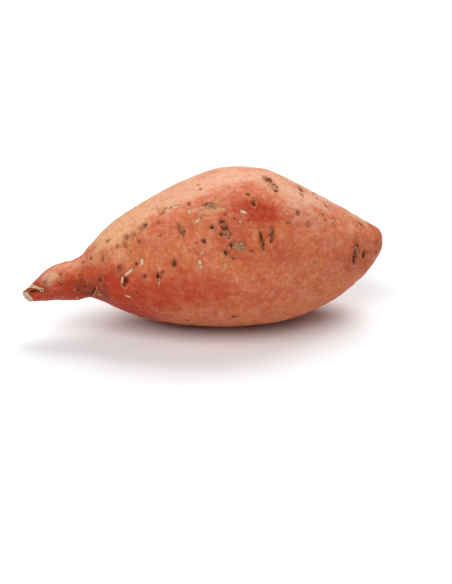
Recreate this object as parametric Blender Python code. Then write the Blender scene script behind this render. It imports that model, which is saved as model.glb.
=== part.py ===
"""Sweet potato: one whole storage root in its skin, lying on its belly as picked.

The root lies along X, with its cut stalk at -X and its blunt tail end at +X. It grew as one
piece, so it is one solid: a swollen belly, a narrower neck that ends in the cut stalk,
shallow furrows along its length, soft swellings and hollows, and the dented scars that
side roots leave. Units are metres, +Z is up, and the root rests on a small flat spot at
Z = 0. Places on the skin are given as a share of the length from the stalk, and as an
angle round the root in degrees, from 0 at the top through 90 at the front (-Y).
"""

import math
import random

import bmesh
import bpy
import numpy as np

# Driving sizes of the whole root
LENGTH = 0.176
THICKNESS = 0.078
WIDTH_PER_HEIGHT = 1.05
FLAT_DEPTH = 0.0011

# How finely the surface is divided: sides round the root, and rings from end to end,
# which stand closer where the root is thin
SIDES = 72
RINGS = 80
RING_STEP_AT_TIP = 0.0009
RING_STEP_PER_RADIUS = 0.05
STEPS_PER_STATION = 40

# The form, from the cut stalk to the blunt end. Each station gives its place along the
# length as a share of LENGTH, then its radius, the height of its centre and its sway
# towards the back (+Y) as shares of THICKNESS.
STATIONS = np.array(
    (
        (0.014, 0.000, 0.297, -0.108),
        (0.014, 0.013, 0.297, -0.108),
        (0.014, 0.026, 0.297, -0.108),
        (0.016, 0.033, 0.297, -0.108),
        (0.023, 0.040, 0.299, -0.107),
        (0.034, 0.046, 0.304, -0.105),
        (0.050, 0.062, 0.320, -0.100),
        (0.080, 0.092, 0.348, -0.092),
        (0.120, 0.112, 0.362, -0.080),
        (0.158, 0.124, 0.372, -0.068),
        (0.182, 0.150, 0.399, -0.060),
        (0.215, 0.205, 0.421, -0.050),
        (0.265, 0.277, 0.430, -0.038),
        (0.330, 0.350, 0.441, -0.025),
        (0.410, 0.418, 0.457, -0.012),
        (0.500, 0.473, 0.479, 0.000),
        (0.590, 0.498, 0.489, 0.006),
        (0.680, 0.478, 0.478, 0.008),
        (0.765, 0.414, 0.453, 0.008),
        (0.840, 0.331, 0.437, 0.004),
        (0.905, 0.241, 0.438, 0.000),
        (0.950, 0.163, 0.450, -0.002),
        (0.978, 0.107, 0.473, -0.002),
        (0.994, 0.062, 0.489, 0.000),
        (1.000, 0.000, 0.498, 0.000),
    )
)

# The stalk was cut at a slant: how far the cut runs back towards the belly for each
# metre down and for each metre to the front, and the share of the length it fades over
CUT_DOWN = 0.4
CUT_FRONT = 0.8
CUT_FADE = 0.03

# Shallow furrows: how many lobes go round the root, how deep they are as a share of the
# radius, where the first crest lies, and how far they turn from end to end. They are
# deeper on the neck, where the skin draws together.
LOBES = ((2, 0.010, 20.0, 40.0), (3, 0.010, 75.0, 60.0), (5, 0.012, 28.0, 30.0))
NECK_LOBES = 4.0
NECK_SHARE = 0.08

# Soft swellings (+) and hollows (-): share of the length, angle round the root, half the
# length and half the width they cover, and their height
SWELLINGS = (
    (0.100, 25.0, 0.008, 0.008, 0.0009),
    (0.186, 125.0, 0.004, 0.014, -0.0013),
    (0.300, 32.0, 0.018, 0.010, 0.0012),
    (0.440, 30.0, 0.022, 0.010, 0.0013),
    (0.580, 22.0, 0.020, 0.010, 0.0012),
    (0.640, 42.0, 0.014, 0.011, -0.0018),
    (0.690, -6.0, 0.006, 0.010, 0.0008),
    (0.760, 30.0, 0.018, 0.009, 0.0012),
    (0.900, 40.0, 0.012, 0.008, 0.0009),
    (0.500, 95.0, 0.022, 0.014, 0.0009),
    (0.820, 110.0, 0.014, 0.012, -0.0010),
    (0.350, 215.0, 0.020, 0.014, -0.0012),
    (0.550, 262.0, 0.024, 0.014, 0.0012),
    (0.720, 235.0, 0.014, 0.012, -0.0014),
    (0.450, 315.0, 0.018, 0.012, -0.0012),
    (0.800, 300.0, 0.016, 0.012, 0.0011),
)

# Scars of side roots are dents that lie across the root. These are on the front: share of
# the length, angle round the root, and length across the root in metres.
FRONT_SCARS = (
    (0.104, 41.0, 0.004),
    (0.150, 97.0, 0.004),
    (0.204, 86.0, 0.004),
    (0.216, 50.0, 0.005),
    (0.266, 82.0, 0.006),
    (0.284, 46.0, 0.006),
    (0.287, 73.0, 0.007),
    (0.298, 36.0, 0.006),
    (0.316, 65.0, 0.005),
    (0.326, 32.0, 0.006),
    (0.369, 76.0, 0.009),
    (0.376, 16.0, 0.007),
    (0.398, 70.0, 0.006),
    (0.424, 47.0, 0.007),
    (0.450, 28.0, 0.005),
    (0.468, 73.0, 0.007),
    (0.478, 59.0, 0.005),
    (0.504, 50.0, 0.005),
    (0.510, 33.0, 0.009),
    (0.537, 54.0, 0.009),
    (0.566, 67.0, 0.008),
    (0.619, 35.0, 0.006),
    (0.630, 63.0, 0.009),
    (0.658, 60.0, 0.008),
    (0.676, 16.0, 0.009),
    (0.711, 36.0, 0.006),
    (0.765, 47.0, 0.005),
    (0.767, 5.0, 0.005),
    (0.842, 36.0, 0.005),
    (0.905, 75.0, 0.008),
    (0.932, 24.0, 0.005),
    (0.935, 79.0, 0.005),
)

# On the back and below they stand in rows along the root, the way side roots grow: the
# angle of each row, how many scars it has, where along the root they lie, how far a scar
# strays from its even place, and the shortest and longest scar
SCAR_ROWS = (150.0, 205.0, 238.0, 270.0, 300.0, 335.0)
SCARS_PER_ROW = 6
ROW_START = 0.20
ROW_END = 0.92
STRAY_SHARE = 0.035
STRAY_TURN = 9.0
SCAR_LENGTHS = (0.005, 0.009)
SEED = 7

# The section of a scar: half its width along the root, and its depth per length across
SCAR_HALF_WIDTH = 0.0022
SCAR_DEPTH = 0.12

# Below this radius every bump is made smaller, so the thin ends stay whole
THIN_RADIUS = 0.004


def smooth_path(stations, count):
    """Sections on one smooth curve through the stations, closer where the root is thin."""
    step = np.diff(stations, axis=0)
    reach = np.concatenate(([0.0], np.cumsum(np.linalg.norm(step, axis=1) ** 0.5)))
    slope = np.gradient(stations, reach, axis=0)
    fine = np.linspace(0.0, reach[-1], STEPS_PER_STATION * len(stations))
    left = np.clip(np.searchsorted(reach, fine, side="right") - 1, 0, len(reach) - 2)
    gap = (reach[left + 1] - reach[left])[:, None]
    t = (fine[:, None] - reach[left][:, None]) / gap
    curve = (
        (2 * t**3 - 3 * t**2 + 1) * stations[left]
        + (t**3 - 2 * t**2 + t) * gap * slope[left]
        + (3 * t**2 - 2 * t**3) * stations[left + 1]
        + (t**3 - t**2) * gap * slope[left + 1]
    )
    run = np.linalg.norm(np.diff(curve[:, :2], axis=0), axis=1)
    wanted = RING_STEP_AT_TIP + RING_STEP_PER_RADIUS * curve[1:, 1]
    walked = np.concatenate(([0.0], np.cumsum(run / wanted)))
    even = np.linspace(0.0, walked[-1], count)
    return np.stack([np.interp(even, walked, column) for column in curve.T], axis=1)


def all_scars():
    """The scars on the front, and the rows on the back and below."""
    draw = random.Random(SEED)
    scars = list(FRONT_SCARS)
    for row in SCAR_ROWS:
        for share in np.linspace(ROW_START, ROW_END, SCARS_PER_ROW):
            scars.append(
                (
                    share + draw.uniform(-STRAY_SHARE, STRAY_SHARE),
                    row + draw.uniform(-STRAY_TURN, STRAY_TURN),
                    draw.uniform(*SCAR_LENGTHS),
                )
            )
    return scars


def bell(share, turn, radius, spot, half_length, half_width):
    """1 in the middle of a spot on the skin, falling smoothly to 0 outside it."""
    along = (share - spot[0]) * LENGTH / half_length
    across = math.remainder(turn - math.radians(spot[1]), 2.0 * math.pi) * radius / half_width
    return math.exp(-along * along - across * across)


def skin_height(share, turn, radius, scars):
    """How far the skin stands out from a plain round section, in metres."""
    neck = 1.0 + NECK_LOBES * math.exp(-share / NECK_SHARE)
    height = 0.0
    for count, depth, crest, twist in LOBES:
        wave = math.cos(count * (turn - math.radians(crest + twist * share)))
        height += radius * depth * neck * wave
    for spot in SWELLINGS:
        height += spot[4] * bell(share, turn, radius, spot, spot[2], spot[3])
    for spot in scars:
        half_across = 0.5 * spot[2]
        dent = bell(share, turn, radius, spot, SCAR_HALF_WIDTH, half_across)
        height -= SCAR_DEPTH * spot[2] * dent
    return height * min(1.0, radius / THIN_RADIUS)


def root_mesh():
    """A globe whose poles are the two ends, drawn out through the sections."""
    sections = STATIONS * (1.0, THICKNESS, THICKNESS, THICKNESS)
    sections[:, 0] = (sections[:, 0] - 0.5) * LENGTH
    path = smooth_path(sections, RINGS + 1)
    scars = all_scars()
    mesh = bmesh.new()
    bmesh.ops.create_uvsphere(mesh, u_segments=SIDES, v_segments=RINGS, radius=1.0)
    for vert in mesh.verts:
        ring = round(math.acos(max(-1.0, min(1.0, -vert.co.z))) / math.pi * RINGS)
        turn = math.atan2(vert.co.y, vert.co.x)
        along, radius, height, sway = path[ring]
        share = along / LENGTH + 0.5
        reach = radius + skin_height(share, turn, radius, scars)
        front = reach * WIDTH_PER_HEIGHT * math.sin(turn)
        up = reach * math.cos(turn)
        fade = math.exp(-(share - STATIONS[0, 0]) / CUT_FADE)
        slant = (CUT_FRONT * front - CUT_DOWN * up) * fade
        vert.co = (along + slant, sway - front, max(height + up - FLAT_DEPTH, 0.0))
    bmesh.ops.recalc_face_normals(mesh, faces=mesh.faces)
    return mesh


def put_in_the_middle(mesh):
    """Moves the root so that its box is centred on X = 0 and Y = 0."""
    places = np.array([vert.co[:] for vert in mesh.verts])
    middle = 0.5 * (places.min(axis=0) + places.max(axis=0))
    bmesh.ops.translate(mesh, verts=mesh.verts, vec=(-middle[0], -middle[1], 0.0))


def skin_material():
    """The coppery red skin, dry and slightly dull."""
    material = bpy.data.materials.new("sweet potato skin")
    material.use_nodes = True
    shader = material.node_tree.nodes["Principled BSDF"]
    shader.inputs["Base Color"].default_value = (0.45, 0.13, 0.07, 1.0)
    shader.inputs["Roughness"].default_value = 0.62
    return material


def main():
    for item in list(bpy.data.objects):
        bpy.data.objects.remove(item)
    mesh = root_mesh()
    put_in_the_middle(mesh)
    data = bpy.data.meshes.new("sweet_potato")
    mesh.to_mesh(data)
    mesh.free()
    data.shade_smooth()
    data.materials.append(skin_material())
    root = bpy.data.objects.new("sweet_potato", data)
    group = bpy.data.collections.new("sweet potato")
    bpy.context.scene.collection.children.link(group)
    group.objects.link(root)


main()
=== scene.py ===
# %% [markdown]
# # A sweet potato, from a plain solid to its skin
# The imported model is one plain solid: the whole root, with its belly, neck, cut stalk and soft
# dents. Here it gets its real skin: a mesh fine enough for the scars that side roots leave, a
# material that is coppery, mottled and a little dusty, a stalk cut clean through its fibres, a
# torn strip on the neck and a few dry rootlets. Everything is in metres, in the solid's frame.

import math
import random

import bmesh
import bpy
import numpy as np
from mathutils import Matrix, Vector, noise
from mathutils.bvhtree import BVHTree


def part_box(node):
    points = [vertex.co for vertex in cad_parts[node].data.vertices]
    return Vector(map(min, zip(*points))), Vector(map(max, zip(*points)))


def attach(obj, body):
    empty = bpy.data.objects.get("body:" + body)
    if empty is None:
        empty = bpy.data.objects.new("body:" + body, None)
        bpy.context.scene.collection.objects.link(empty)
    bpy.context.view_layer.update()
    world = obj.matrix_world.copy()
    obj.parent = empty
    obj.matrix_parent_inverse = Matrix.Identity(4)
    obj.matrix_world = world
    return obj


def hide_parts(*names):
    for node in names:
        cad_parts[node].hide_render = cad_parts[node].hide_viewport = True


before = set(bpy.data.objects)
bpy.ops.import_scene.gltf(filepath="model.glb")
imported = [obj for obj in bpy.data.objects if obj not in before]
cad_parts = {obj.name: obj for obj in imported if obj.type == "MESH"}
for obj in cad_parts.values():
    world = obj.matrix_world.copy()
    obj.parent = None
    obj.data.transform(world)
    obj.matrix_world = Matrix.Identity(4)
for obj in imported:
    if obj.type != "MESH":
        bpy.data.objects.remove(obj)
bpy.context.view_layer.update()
plain_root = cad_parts["sweet_potato"]
stalk_end, tail_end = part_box("sweet_potato")
LENGTH = tail_end.x - stalk_end.x
print(f"the root is {LENGTH * 1000:.0f} mm long, {len(plain_root.data.polygons)} triangles")

# %% [markdown]
# ## The camera
# The root is seen from the front and a little above, a few degrees round towards its stalk,
# through a long lens, so its two ends keep nearly the same scale. The camera is placed on a
# line from the point it looks at, which is easier to tune than three coordinates: one angle
# round the root, one angle up, and a distance.

# %% Place the camera
MM = 0.001
AZIMUTH = math.radians(-8.0)
ELEVATION = math.radians(25.0)
LOOK_AT = Vector((0.0085, -0.0187, 0.0222))
DISTANCE = 0.7754
LENS = 100.0
SENSOR = 36.0

toward_camera = Vector(
    (
        math.sin(AZIMUTH) * math.cos(ELEVATION),
        -math.cos(AZIMUTH) * math.cos(ELEVATION),
        math.sin(ELEVATION),
    )
)
camera = bpy.data.objects.new("camera", bpy.data.cameras.new("camera"))
camera.data.lens = LENS
camera.data.sensor_width = SENSOR
camera.data.clip_start = 0.01
camera.location = LOOK_AT + toward_camera * DISTANCE
camera.rotation_euler = (-toward_camera).to_track_quat("-Z", "Y").to_euler()
bpy.context.scene.collection.objects.link(camera)
bpy.context.scene.camera = camera
print(f"the camera stands {DISTANCE * 1000:.0f} mm away, behind a {LENS:.0f} mm lens")

# %% [markdown]
# ## The studio
# The root lies on white paper between two large soft panels. One hangs in front on the side
# of the neck, and lights the shoulder and the belly. The other hangs behind, on the side of
# the tail, and leaves a pale sheen along the top. Both hang high, so the underside goes dark
# and red. The world is a dim white that fills the shadows.

# %% Paper and light
PAPER_SIZE = 6.0
PAPER_WHITE = (0.92, 0.94, 0.96, 1.0)
WORLD_WHITE = (1.0, 1.0, 1.0, 1.0)
WORLD_STRENGTH = 0.22
bm = bmesh.new()
bmesh.ops.create_grid(bm, x_segments=2, y_segments=2, size=PAPER_SIZE / 2)
paper_mesh = bpy.data.meshes.new("paper")
bm.to_mesh(paper_mesh)
bm.free()
paper = bpy.data.objects.new("paper", paper_mesh)
bpy.context.scene.collection.objects.link(paper)
paper_look = bpy.data.materials.new("white paper")
paper_look.use_nodes = True
paper_shader = paper_look.node_tree.nodes["Principled BSDF"]
paper_shader.inputs["Base Color"].default_value = PAPER_WHITE
paper_shader.inputs["Roughness"].default_value = 0.9
paper_mesh.materials.append(paper_look)


def soft_panel(name, place, width, depth, watts):
    """A wide, flat light that faces the root."""
    light = bpy.data.lights.new(name, "AREA")
    light.shape = "RECTANGLE"
    light.size = width
    light.size_y = depth
    light.energy = watts
    panel = bpy.data.objects.new(name, light)
    panel.location = place
    panel.rotation_euler = (Vector(place) - LOOK_AT).to_track_quat("Z", "Y").to_euler()
    bpy.context.scene.collection.objects.link(panel)
    return panel


panels = (
    soft_panel("panel behind", (0.35, 0.55, 1.00), 1.1, 0.8, 12.0),
    soft_panel("panel in front", (-0.40, -0.60, 0.90), 1.0, 0.8, 9.7),
)
world = bpy.data.worlds.new("studio")
world.use_nodes = True
background = world.node_tree.nodes["Background"]
background.inputs["Color"].default_value = WORLD_WHITE
background.inputs["Strength"].default_value = WORLD_STRENGTH
bpy.context.scene.world = world
bpy.context.scene.view_settings.view_transform = "Standard"
for panel in panels:
    print(f"{panel.name}: {panel.data.energy:.1f} W over {panel.data.size:.1f} m")

# %% [markdown]
# ## An even, fine skin
# A real skin is one closed surface, so the new one is grown from a copy of the solid. The
# copy's loose triangles are merged and paired back into quads, a Subdivision Surface rounds
# them, and a voxel Remesh lays even squares all over. Even squares take dents and bumps
# equally well everywhere, which the long triangles of a plain solid don't.

# %% Grow the skin from the solid
SKIN_SQUARE = 1.05 * MM
MERGE = 0.001 * MM
PAIR_ANGLE = math.radians(40.0)


def plain_object(name, mesh):
    """An object at the origin that holds a mesh, linked to the scene."""
    thing = bpy.data.objects.new(name, mesh)
    bpy.context.scene.collection.objects.link(thing)
    return thing


def finished_mesh(thing, name):
    """The mesh that an object's modifiers make, as a mesh of its own. The object goes."""
    view = bpy.context.evaluated_depsgraph_get()
    mesh = bpy.data.meshes.new_from_object(thing.evaluated_get(view))
    mesh.name = name
    bpy.data.objects.remove(thing)
    return mesh


def relax(bm, verts, times):
    """Evens a surface out a little, a few times over."""
    for _ in range(times):
        bmesh.ops.smooth_vert(
            bm, verts=verts, factor=0.5, use_axis_x=True, use_axis_y=True, use_axis_z=True
        )


bm = bmesh.new()
bm.from_mesh(plain_root.data)
bmesh.ops.remove_doubles(bm, verts=bm.verts, dist=MERGE)
bmesh.ops.join_triangles(
    bm,
    faces=bm.faces,
    angle_face_threshold=PAIR_ANGLE,
    angle_shape_threshold=PAIR_ANGLE,
)
rough_mesh = bpy.data.meshes.new("merged copy")
bm.to_mesh(rough_mesh)
bm.free()
rough = plain_object("merged copy", rough_mesh)
rounder = rough.modifiers.new("round", "SUBSURF")
rounder.levels = rounder.render_levels = 2
even = rough.modifiers.new("even squares", "REMESH")
even.mode = "VOXEL"
even.voxel_size = SKIN_SQUARE
bm = bmesh.new()
bm.from_mesh(finished_mesh(rough, "even skin"))
relax(bm, bm.verts, 3)
smooth_skin = BVHTree.FromBMesh(bm)
print(f"even skin: {len(bm.faces)} squares")

# %% [markdown]
# ## Places on the skin
# A scar is easiest to place as a cook would point at it: so far along the root from the
# stalk, and so far round it from the top. `spot_at` turns such a pair into a point on the
# skin. It starts on the root's centre line and looks outwards until it meets the surface.
# Angles grow from the top (0) over the front (90) to the underside (180).

# %% Find a point on the skin
SLICES = 60
points = np.array([vert.co[:] for vert in bm.verts])
slice_of = np.clip(((points[:, 0] - stalk_end.x) / LENGTH * SLICES).astype(int), 0, SLICES - 1)
centre_line = np.zeros((SLICES, 2))
for number in range(SLICES):
    section = points[slice_of == number][:, 1:]
    centre_line[number] = 0.5 * (section.min(axis=0) + section.max(axis=0))


def spot_at(share, turn):
    """The point and outward normal at a share of the length and degrees round from the top."""
    place = share * SLICES - 0.5
    middle = [np.interp(place, np.arange(SLICES), centre_line[:, axis]) for axis in (0, 1)]
    start = Vector((stalk_end.x + share * LENGTH, middle[0], middle[1]))
    angle = math.radians(turn)
    way = Vector((0.0, -math.sin(angle), math.cos(angle)))
    point, normal, _, _ = smooth_skin.ray_cast(start, way)
    return point, normal


for name, turn in (("top", 0.0), ("front", 90.0), ("underside", 180.0)):
    print(f"{name} of the middle:", [round(part * 1000, 1) for part in spot_at(0.5, turn)[0]])

# %% [markdown]
# ## Kinds of mark
# Where a side root grew, it left a scar that lies across the root: a dark pit, a softer dent,
# a mere dot, or a crust of tan cork with dark cracks, which is lower and duller where it is
# worn. Knocks and rubbing leave chips, where the pale layer under the skin shows, rough tan
# patches and a thin yellow scurf. A scab is a healed wound, between tan and grey. Each kind
# has seven numbers: how high its bed, its rim and its roughness stand, in millimetres for a
# mark 2 mm across, and how dark, corky, pale and grey it is.

# %% List the kinds
PIT, DENT, DOT, CORK, WORN, CHIP, PATCH, SCURF, SCAB = range(9)
KINDS = {
    PIT: (-0.80, 0.12, 0.08, 1.00, 0.25, 0.00, 0.00),
    DENT: (-0.42, 0.08, 0.05, 0.60, 0.20, 0.00, 0.00),
    DOT: (-0.34, 0.05, 0.04, 0.65, 0.15, 0.00, 0.00),
    CORK: (-0.12, 0.10, 0.30, 0.80, 1.00, 0.00, 0.00),
    WORN: (-0.10, 0.08, 0.22, 0.50, 0.66, 0.00, 0.00),
    CHIP: (-0.22, 0.12, 0.08, 0.35, 0.00, 1.00, 0.00),
    PATCH: (0.03, 0.00, 0.14, 0.10, 0.62, 0.25, 0.00),
    SCURF: (0.04, 0.00, 0.06, 0.00, 0.28, 0.00, 0.00),
    SCAB: (-0.06, 0.10, 0.05, 0.30, 0.20, 0.00, 1.00),
}
print(f"{len(KINDS)} kinds of mark")

# %% [markdown]
# ## The marks that the camera sees
# Each mark is written as its share of the length, its degrees round from the top, its size in
# millimetres across the root and along it, how many degrees it leans clockwise, and its kind.
# A large ragged scar is a few marks that overlap, and where two overlap, each point belongs to
# the one whose middle is nearer for its size.

# %% Place the marks of the front
FRONT_MARKS = (
    # neck
    (0.078, 46, 3.0, 3.2, 20, SCURF),
    (0.087, 44, 3.4, 3.6, -40, SCURF),
    (0.104, 43, 2.2, 1.8, 0, DENT),
    (0.104, 73, 1.2, 1.0, 0, DOT),
    (0.064, 49, 1.4, 1.2, 0, DOT),
    (0.068, 89, 1.4, 1.1, 0, DOT),
    (0.099, 65, 1.0, 0.9, 0, DOT),
    (0.106, 99, 1.0, 1.0, 0, DOT),
    (0.139, 95, 1.3, 1.5, 0, SCURF),
    (0.155, 60, 1.2, 1.2, 0, DOT),
    (0.142, 97, 1.2, 1.4, 0, DOT),
    (0.150, 99, 1.6, 1.4, 0, DOT),
    (0.169, 99, 1.6, 2.0, 0, DOT),
    (0.168, 32, 1.4, 2.4, 0, DOT),
    (0.206, 86, 2.8, 1.7, -20, PIT),
    (0.199, 21, 1.2, 1.0, 0, DOT),
    (0.216, 50, 3.6, 1.7, 10, DENT),
    (0.220, 79, 3.0, 1.0, 20, DOT),
    (0.234, 27, 1.6, 2.0, 0, DOT),
    (0.186, 37, 1.6, 1.4, 0, DOT),
    # shoulder
    (0.259, 69, 3.6, 2.2, 8, WORN),
    (0.271, 85, 4.8, 2.7, 14, PIT),
    (0.264, 83, 4.8, 1.1, 12, CHIP),
    (0.272, 40, 1.6, 1.2, 0, WORN),
    (0.280, 35, 2.4, 2.9, 30, WORN),
    (0.298, 36, 2.4, 2.8, 30, WORN),
    (0.321, 33, 2.8, 3.0, 40, WORN),
    (0.331, 31, 2.6, 2.6, 20, CORK),
    (0.278, 44, 3.6, 1.8, -15, WORN),
    (0.256, 42, 1.8, 1.2, 40, WORN),
    (0.290, 49, 2.2, 2.0, 0, SCURF),
    (0.311, 34, 2.6, 2.6, 0, SCURF),
    (0.312, 46, 2.2, 1.6, 0, WORN),
    (0.284, 74, 6.8, 1.5, 52, CHIP),
    (0.302, 67, 2.0, 1.6, 30, PIT),
    (0.316, 65, 4.8, 1.7, 6, CHIP),
    (0.277, 104, 1.1, 3.4, 12, CHIP),
    (0.302, 98, 1.2, 1.2, 0, DOT),
    (0.322, 80, 2.4, 1.8, 0, DOT),
    (0.357, 81, 3.6, 2.3, 0, PIT),
    (0.358, 87, 2.6, 1.4, 0, SCURF),
    (0.369, 77, 1.6, 1.4, -10, DOT),
    (0.398, 71, 4.4, 2.1, 8, PIT),
    (0.369, 34, 2.4, 1.8, -30, WORN),
    (0.368, 46, 1.0, 1.6, 0, DOT),
    # upper left of the belly
    (0.376, 14, 2.8, 3.4, 0, SCURF),
    (0.362, 13, 2.0, 2.2, 0, SCURF),
    (0.376, 21, 3.6, 2.2, -20, PATCH),
    (0.390, 21, 1.8, 1.6, 0, DOT),
    (0.380, 25, 2.8, 2.6, 30, WORN),
    (0.403, 23, 1.2, 2.0, 0, DOT),
    (0.416, 24, 2.0, 3.4, 15, CHIP),
    (0.424, 47, 5.6, 2.1, -22, CORK),
    (0.450, 27, 2.0, 1.6, 0, PIT),
    (0.449, 34, 3.6, 1.1, 8, CHIP),
    (0.487, 15, 1.9, 1.5, 0, DOT),
    (0.484, 7, 1.5, 1.5, 0, DOT),
    (0.467, 43, 4.2, 1.7, 58, CHIP),
    (0.478, 59, 2.3, 1.8, 0, WORN),
    (0.460, 59, 1.0, 1.0, 0, DOT),
    (0.471, 67, 2.4, 2.2, 0, SCURF),
    (0.465, 73, 3.0, 1.4, -12, CHIP),
    (0.467, 77, 2.0, 1.8, 0, CHIP),
    # middle of the belly
    (0.504, 34, 4.2, 6.2, 10, SCAB),
    (0.494, 32.5, 1.6, 1.8, 0, PIT),
    (0.500, 39, 3.0, 7.0, 0, SCURF),
    (0.524, 32, 3.2, 4.6, 0, SCURF),
    (0.531, 40, 3.0, 5.0, 0, SCURF),
    (0.510, 40, 2.6, 6.6, 0, SCURF),
    (0.484, 38, 2.8, 4.4, 0, SCURF),
    (0.487, 33, 1.4, 1.6, 0, DOT),
    (0.508, 52.0, 1.9, 1.9, 0, SCAB),
    (0.503, 50.5, 2.2, 2.0, 0, PIT),
    (0.524, 57, 2.0, 1.7, 0, PIT),
    (0.530, 49, 3.6, 2.6, -20, CORK),
    (0.537, 54, 7.0, 3.0, -20, CORK),
    (0.544, 59, 3.2, 2.6, 0, CORK),
    (0.533, 70, 2.6, 2.6, 0, PIT),
    (0.523, 71, 2.8, 2.4, 0, SCURF),
    (0.552, 74, 1.9, 1.9, 0, DOT),
    (0.529, 79, 3.4, 2.6, 0, SCURF),
    (0.573, 67, 4.4, 4.2, 10, SCAB),
    (0.561, 66.5, 3.4, 3.8, -15, SCAB),
    (0.549, 65.5, 2.6, 2.4, 0, PIT),
    (0.556, 64.5, 1.6, 2.2, 0, CORK),
    (0.563, 48, 1.2, 1.3, 0, DOT),
    (0.577, 50, 1.3, 1.3, 0, CHIP),
    (0.599, 50, 1.3, 1.5, 0, DOT),
    (0.589, 43, 2.0, 4.0, 20, CHIP),
    (0.606, 30, 1.5, 2.0, 0, DOT),
    (0.619, 37, 3.0, 2.0, -10, PIT),
    (0.624, 33.5, 1.8, 1.4, 0, WORN),
    (0.601, 71, 1.4, 2.0, 0, DOT),
    (0.630, 64, 8.8, 2.1, -6, CORK),
    (0.658, 60, 7.8, 2.7, 8, CORK),
    (0.540, 44, 1.5, 1.6, 0, DOT),
    # towards the tail
    (0.672, 10, 4.6, 3.6, -38, CORK),
    (0.677, 18, 4.6, 2.6, -20, PATCH),
    (0.691, 16, 4.0, 1.6, -10, CORK),
    (0.685, 14.5, 2.8, 2.0, 0, PIT),
    (0.687, 22, 2.2, 2.6, 0, PIT),
    (0.706, 42, 1.6, 0.9, 0, CHIP),
    (0.705, 50, 1.4, 1.5, 0, DOT),
    (0.712, 49, 1.7, 1.1, 0, DOT),
    (0.738, 40, 2.6, 1.9, 0, DOT),
    (0.767, 5, 4.0, 2.4, 0, PIT),
    (0.763, 15, 2.6, 1.8, 0, DOT),
    (0.762, 19, 2.2, 1.8, 0, SCURF),
    (0.765, 47, 2.8, 2.2, 0, WORN),
    (0.809, -3, 1.5, 2.2, 0, DOT),
    (0.811, 10, 1.5, 1.6, 0, DOT),
    (0.813, 34, 1.7, 1.7, 0, DOT),
    (0.820, 39, 1.6, 1.3, 0, DOT),
    (0.842, 36, 2.2, 1.2, 0, CHIP),
    (0.832, 18, 4.4, 1.5, -25, CORK),
    (0.892, 18, 2.2, 2.6, -30, SCURF),
    (0.905, 25, 2.0, 1.8, 0, SCURF),
    (0.932, 24, 3.8, 1.8, -48, PIT),
    (0.962, 14, 2.4, 1.4, -30, CORK),
    (0.906, 71, 7.6, 3.2, 4, CORK),
    (0.902, 82, 5.2, 3.2, 0, PIT),
    (0.911, 73, 4.2, 1.0, 0, SCURF),
    (0.931, 79, 3.6, 2.6, 20, PIT),
    (0.944, 79, 1.8, 1.2, 0, DOT),
    (0.971, 62, 2.2, 1.1, 10, DOT),
    (0.972, 90, 2.4, 1.1, 0, DOT),
)
print(f"{len(FRONT_MARKS)} marks placed by hand on the front")

# %% [markdown]
# ## Marks on the sides that face away
# Side roots grow in a few rows along a sweet potato, so on the back and below the scars
# follow a rule: six rows, six scars in each, every one a little out of place. They lie in the
# dents of the plain solid, so a second draw changes only their size, lean and kind, and sets
# a smaller scar beside some. Dots and chips are strewn between them. Every draw is seeded, so
# the root is the same each time.

# %% Draw the marks of the back and the underside
SCAR_ROWS = (150.0, 205.0, 235.0, 262.0, 290.0, 318.0)
SCARS_IN_A_ROW = 6
STREWN_MARKS = 70
draw = random.Random(7)
vary = random.Random(31)
back_marks = []
for row in SCAR_ROWS:
    for share in np.linspace(0.20, 0.92, SCARS_IN_A_ROW):
        place = share + draw.uniform(-0.035, 0.035)
        turn = row + draw.uniform(-9.0, 9.0)
        across = draw.uniform(5.0, 9.0) * vary.uniform(0.45, 1.05)
        along = across * vary.uniform(0.30, 0.62)
        kind = vary.choice((CORK, CORK, WORN, PIT))
        back_marks.append((place, turn, across, along, vary.gauss(0.0, 14.0), kind))
        if vary.random() < 0.4:
            beside = (place + vary.uniform(-0.022, 0.022), turn + vary.uniform(-8.0, 8.0))
            small = across * vary.uniform(0.25, 0.45)
            back_marks.append((*beside, small, small * 0.8, 0.0, vary.choice((PIT, DOT, WORN))))
strew = random.Random(11)
for _ in range(STREWN_MARKS):
    kind = strew.choice((DENT, DOT, DOT, WORN, CHIP, PATCH))
    across = strew.uniform(1.2, 3.2)
    along = across * strew.uniform(0.5, 1.1)
    place = strew.uniform(0.08, 0.97)
    turn = strew.uniform(112.0, 334.0)
    back_marks.append((place, turn, across, along, strew.gauss(0.0, 25.0), kind))
marks = []
for share, turn, across, along, lean, kind in list(FRONT_MARKS) + back_marks:
    point, normal = spot_at(share, turn)
    if point is not None:
        halves = (0.5 * across * MM, 0.5 * along * MM)
        marks.append((point, normal, *halves, math.radians(lean), kind))
print(f"{len(marks)} marks in all")

# %% [markdown]
# ## Cracks and fine lines
# A crack isn't round, so it is drawn as a line through a few places on the skin. The line
# between them is a Catmull-Rom curve, which passes through every place it is given. Each
# crack has its half width and its rise in millimetres, where below 0 is a groove, and then
# how dark its bottom and how pale its lip is.

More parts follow.
